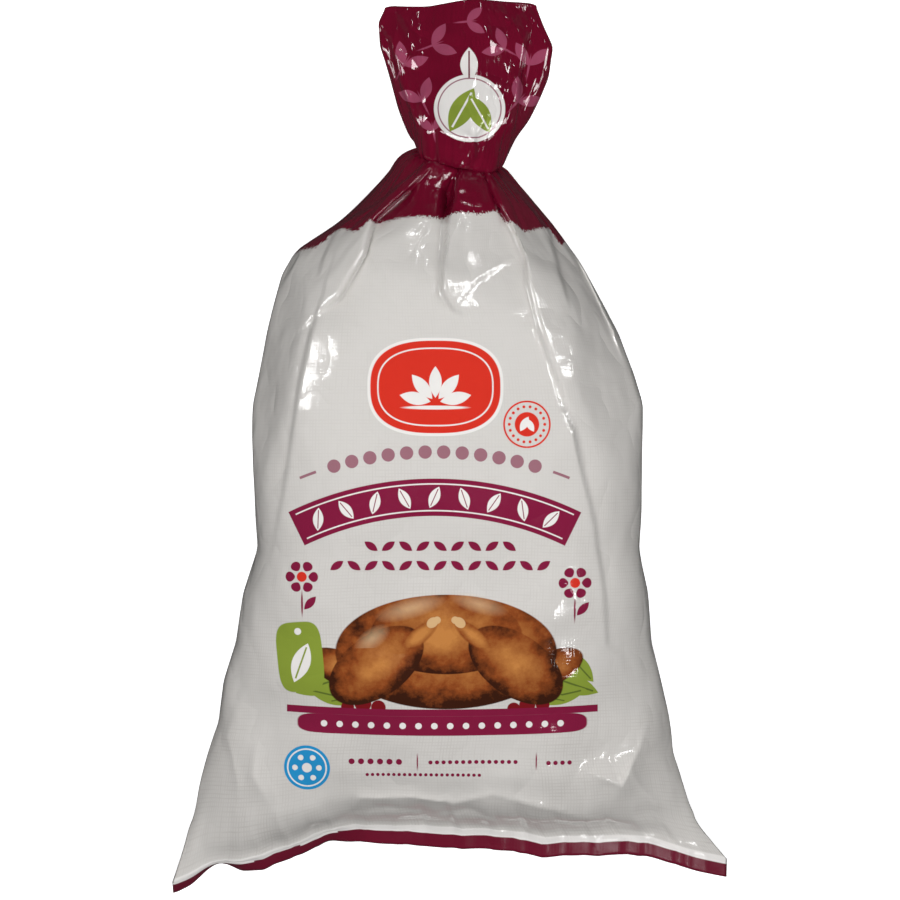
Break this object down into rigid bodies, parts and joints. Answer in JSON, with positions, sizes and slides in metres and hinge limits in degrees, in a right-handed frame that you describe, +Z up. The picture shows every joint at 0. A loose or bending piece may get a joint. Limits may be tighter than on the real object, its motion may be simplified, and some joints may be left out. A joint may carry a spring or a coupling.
{
  "type": "bagged whole turkey",
  "caption": "Whole turkey shut in a printed glossy film bag, gathered at the neck with a flared top and welded across the tail end, lying on its back with the front up.",
  "frame": {"origin": "centre of the bag's bounding box, on the floor that it rests on", "axes": "+X across the bag, +Y from the welded tail end to the gathered neck and its flared mouth, +Z up out of the printed front"},
  "size_m": [0.3006, 0.4792, 0.1492],
  "materials": {
    "printed_film": "off-white glossy film with a fine linen-like grid, a burgundy neck and welded strip, and a printed front"
  },
  "bodies": {
    "root": {"turkey_bag": "printed_film"}
  },
  "joints": []
}
